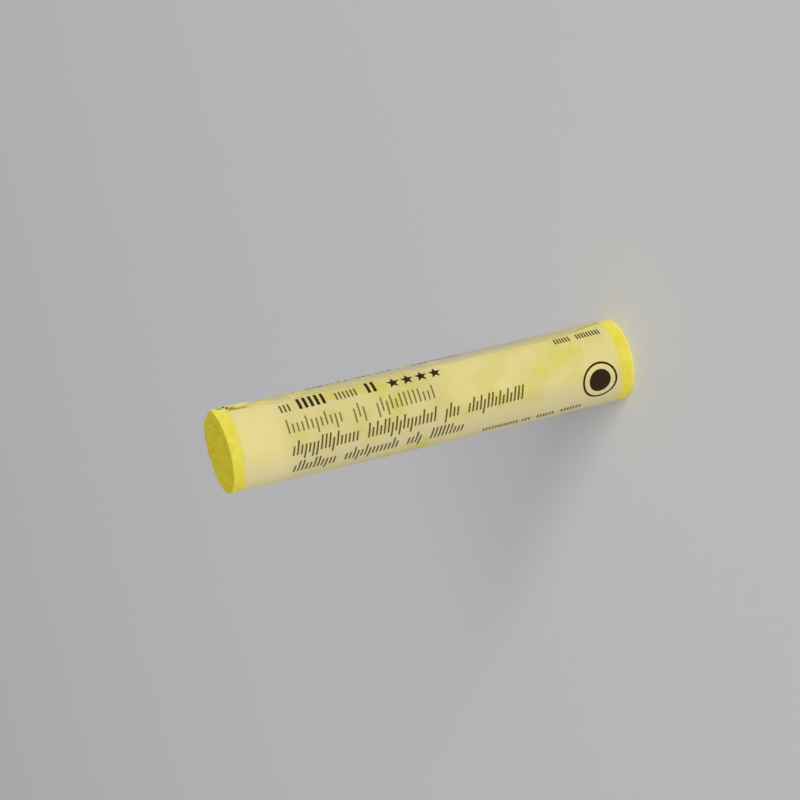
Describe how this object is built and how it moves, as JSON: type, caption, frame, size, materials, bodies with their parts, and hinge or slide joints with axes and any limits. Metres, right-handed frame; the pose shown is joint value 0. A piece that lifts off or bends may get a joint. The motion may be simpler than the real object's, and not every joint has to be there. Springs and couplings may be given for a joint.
{
  "type": "soft pastel stick",
  "caption": "Round soft pastel stick, pressed from yellow pigment, in a thin lapped paper wrapper that leaves both ends bare.",
  "frame": {"origin": "centre of the flat lower face that the stick stands on", "axes": "+Z along the stick's axis, from the lower face up to the chipped upper face; +X towards the side of the chip and of the wrapper's free edge; the printed side faces -Y"},
  "size_m": [0.0125, 0.0124, 0.0652],
  "materials": {
    "pressed_pigment": "matt powdery",
    "coated_paper": "thin translucent paper with a soft gloss"
  },
  "bodies": {
    "root": {"pastel_stick": "pressed_pigment", "paper_wrapper": "coated_paper"}
  },
  "joints": []
}
